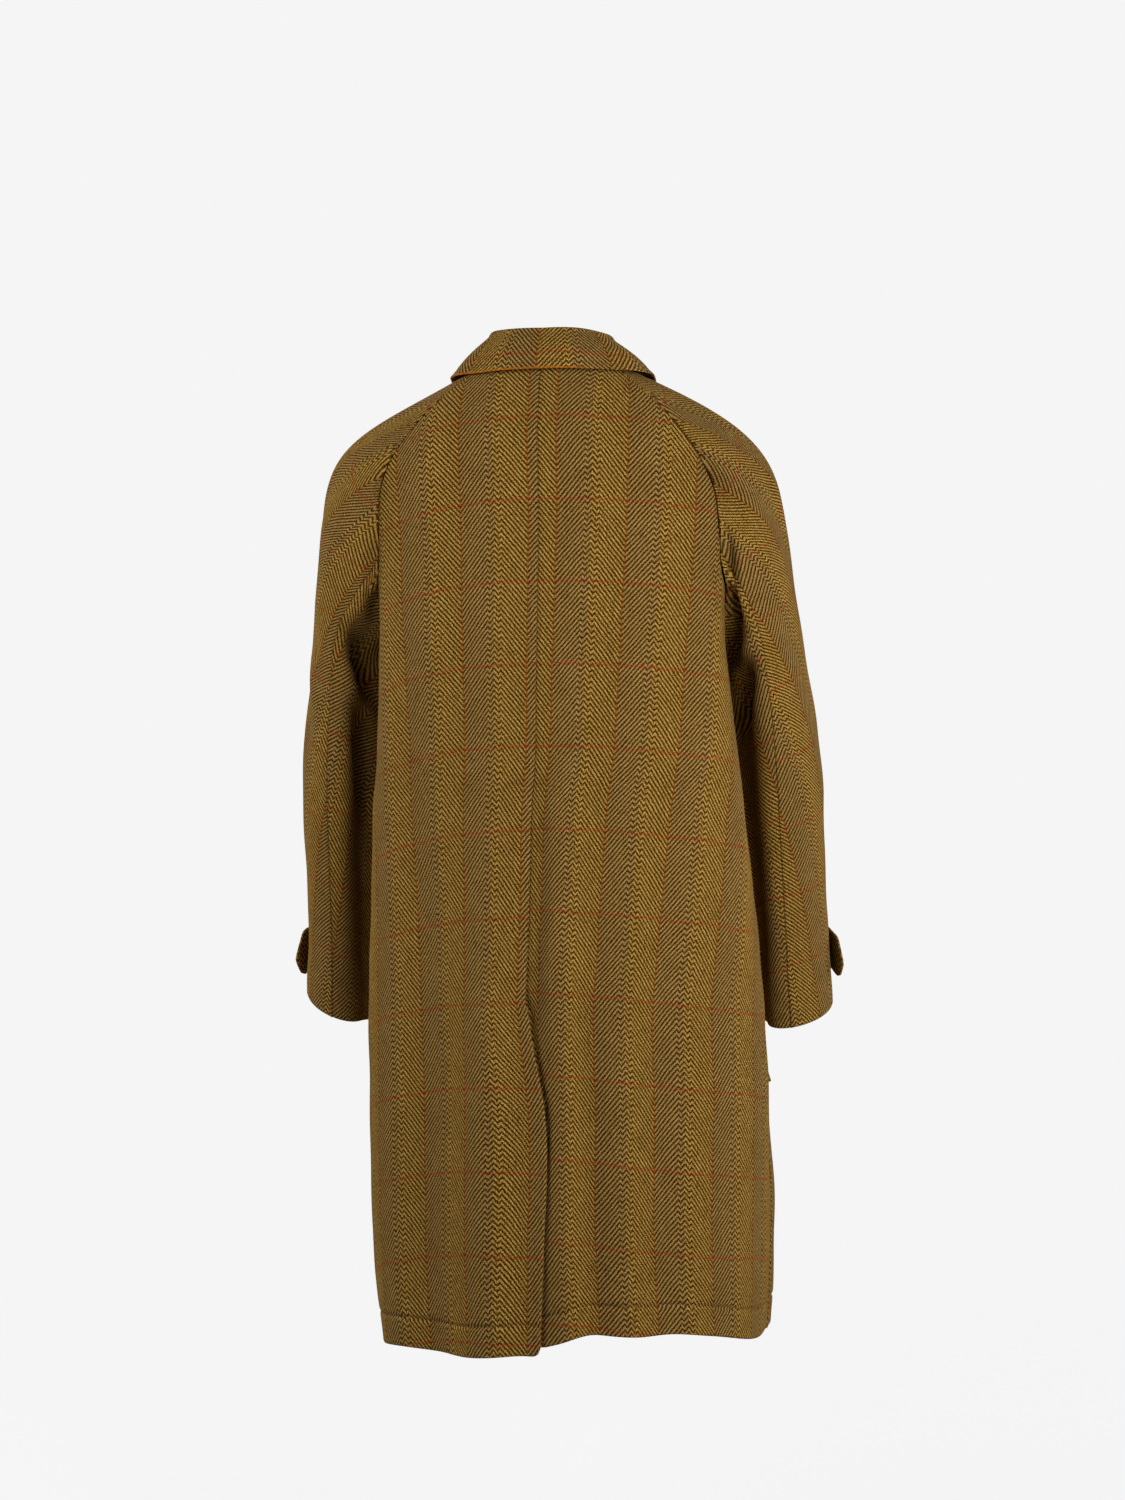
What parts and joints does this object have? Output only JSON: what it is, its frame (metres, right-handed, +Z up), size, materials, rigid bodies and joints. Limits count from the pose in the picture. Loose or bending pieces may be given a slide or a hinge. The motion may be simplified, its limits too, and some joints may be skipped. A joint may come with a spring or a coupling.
{
  "type": "raglan coat",
  "caption": "Knee-length raglan overcoat in herringbone tweed, filled out as worn, with a turned-down collar, centre-back vent, cuff tabs and a single-breasted front.",
  "frame": {"origin": "on the neck's axis at the height of the centre-back neck seam, where the shoulders carry the coat", "axes": "+Z up, -Y the way the coat faces, +X the wearer's left"},
  "size_m": [0.634, 0.3486, 1.0985],
  "materials": {
    "tweed": "hairy wool herringbone in olive yellow and dark brown with a rust overcheck",
    "horn": "dark horn, satin"
  },
  "bodies": {
    "root": {"back_left": "tweed", "back_right": "tweed", "front_left": "tweed", "front_right": "tweed", "sleeve_left_upper": "tweed", "sleeve_left_under": "tweed", "sleeve_right_upper": "tweed", "sleeve_right_under": "tweed", "collar": "tweed", "tab_left": "tweed", "tab_right": "tweed", "pocket_flap_left": "tweed", "pocket_flap_right": "tweed", "tab_button_left": "horn", "tab_button_right": "horn", "front_button_1": "horn", "front_button_2": "horn", "front_button_3": "horn", "front_button_4": "horn"}
  },
  "joints": []
}
